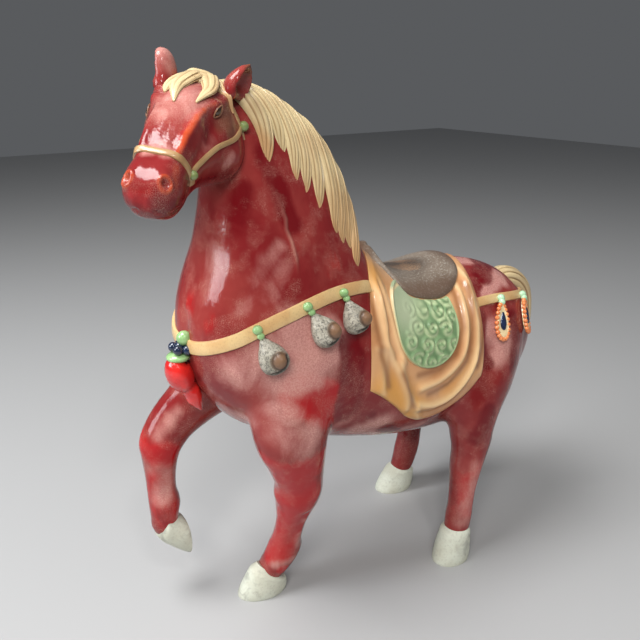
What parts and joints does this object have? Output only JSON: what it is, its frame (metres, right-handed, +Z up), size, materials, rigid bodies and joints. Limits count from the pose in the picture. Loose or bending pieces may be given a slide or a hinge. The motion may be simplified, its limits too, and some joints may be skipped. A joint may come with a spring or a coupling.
{
  "type": "ceramic horse statue",
  "caption": "Glazed ceramic horse walking with one foreleg raised, in saddle, blanket, bridle and belled harness, standing on its hooves.",
  "frame": {"origin": "middle of the figure's box, on the ground that its hooves stand on", "axes": "-X is the way the horse walks, -Y its left side, +Z up"},
  "size_m": [0.373, 0.1338, 0.3903],
  "materials": {
    "red_glaze": "glossy oxblood glaze, crazed, thinning to orange on raised edges and to milky pink in patches",
    "cream_glaze": "satin cream glaze pooling tan in the grooves of the hair",
    "blanket_glaze": "satin ochre glaze, paler on the folds",
    "green_glaze": "thin green glaze, darker in the hollows of the spirals",
    "saddle_glaze": "speckled grey-brown glaze, worn satin",
    "strap_glaze": "satin straw-coloured glaze",
    "hoof_glaze": "matt off-white slip with grey smudges",
    "bell_glaze": "mottled grey and brown glaze",
    "bead_glaze": "glossy pale green glaze",
    "tassel_red": "glossy scarlet glaze",
    "pendant_orange": "glossy orange glaze on a cream ground",
    "ink_blue": "glossy dark blue glaze"
  },
  "bodies": {
    "root": {"horse": "red_glaze"}
  },
  "joints": []
}
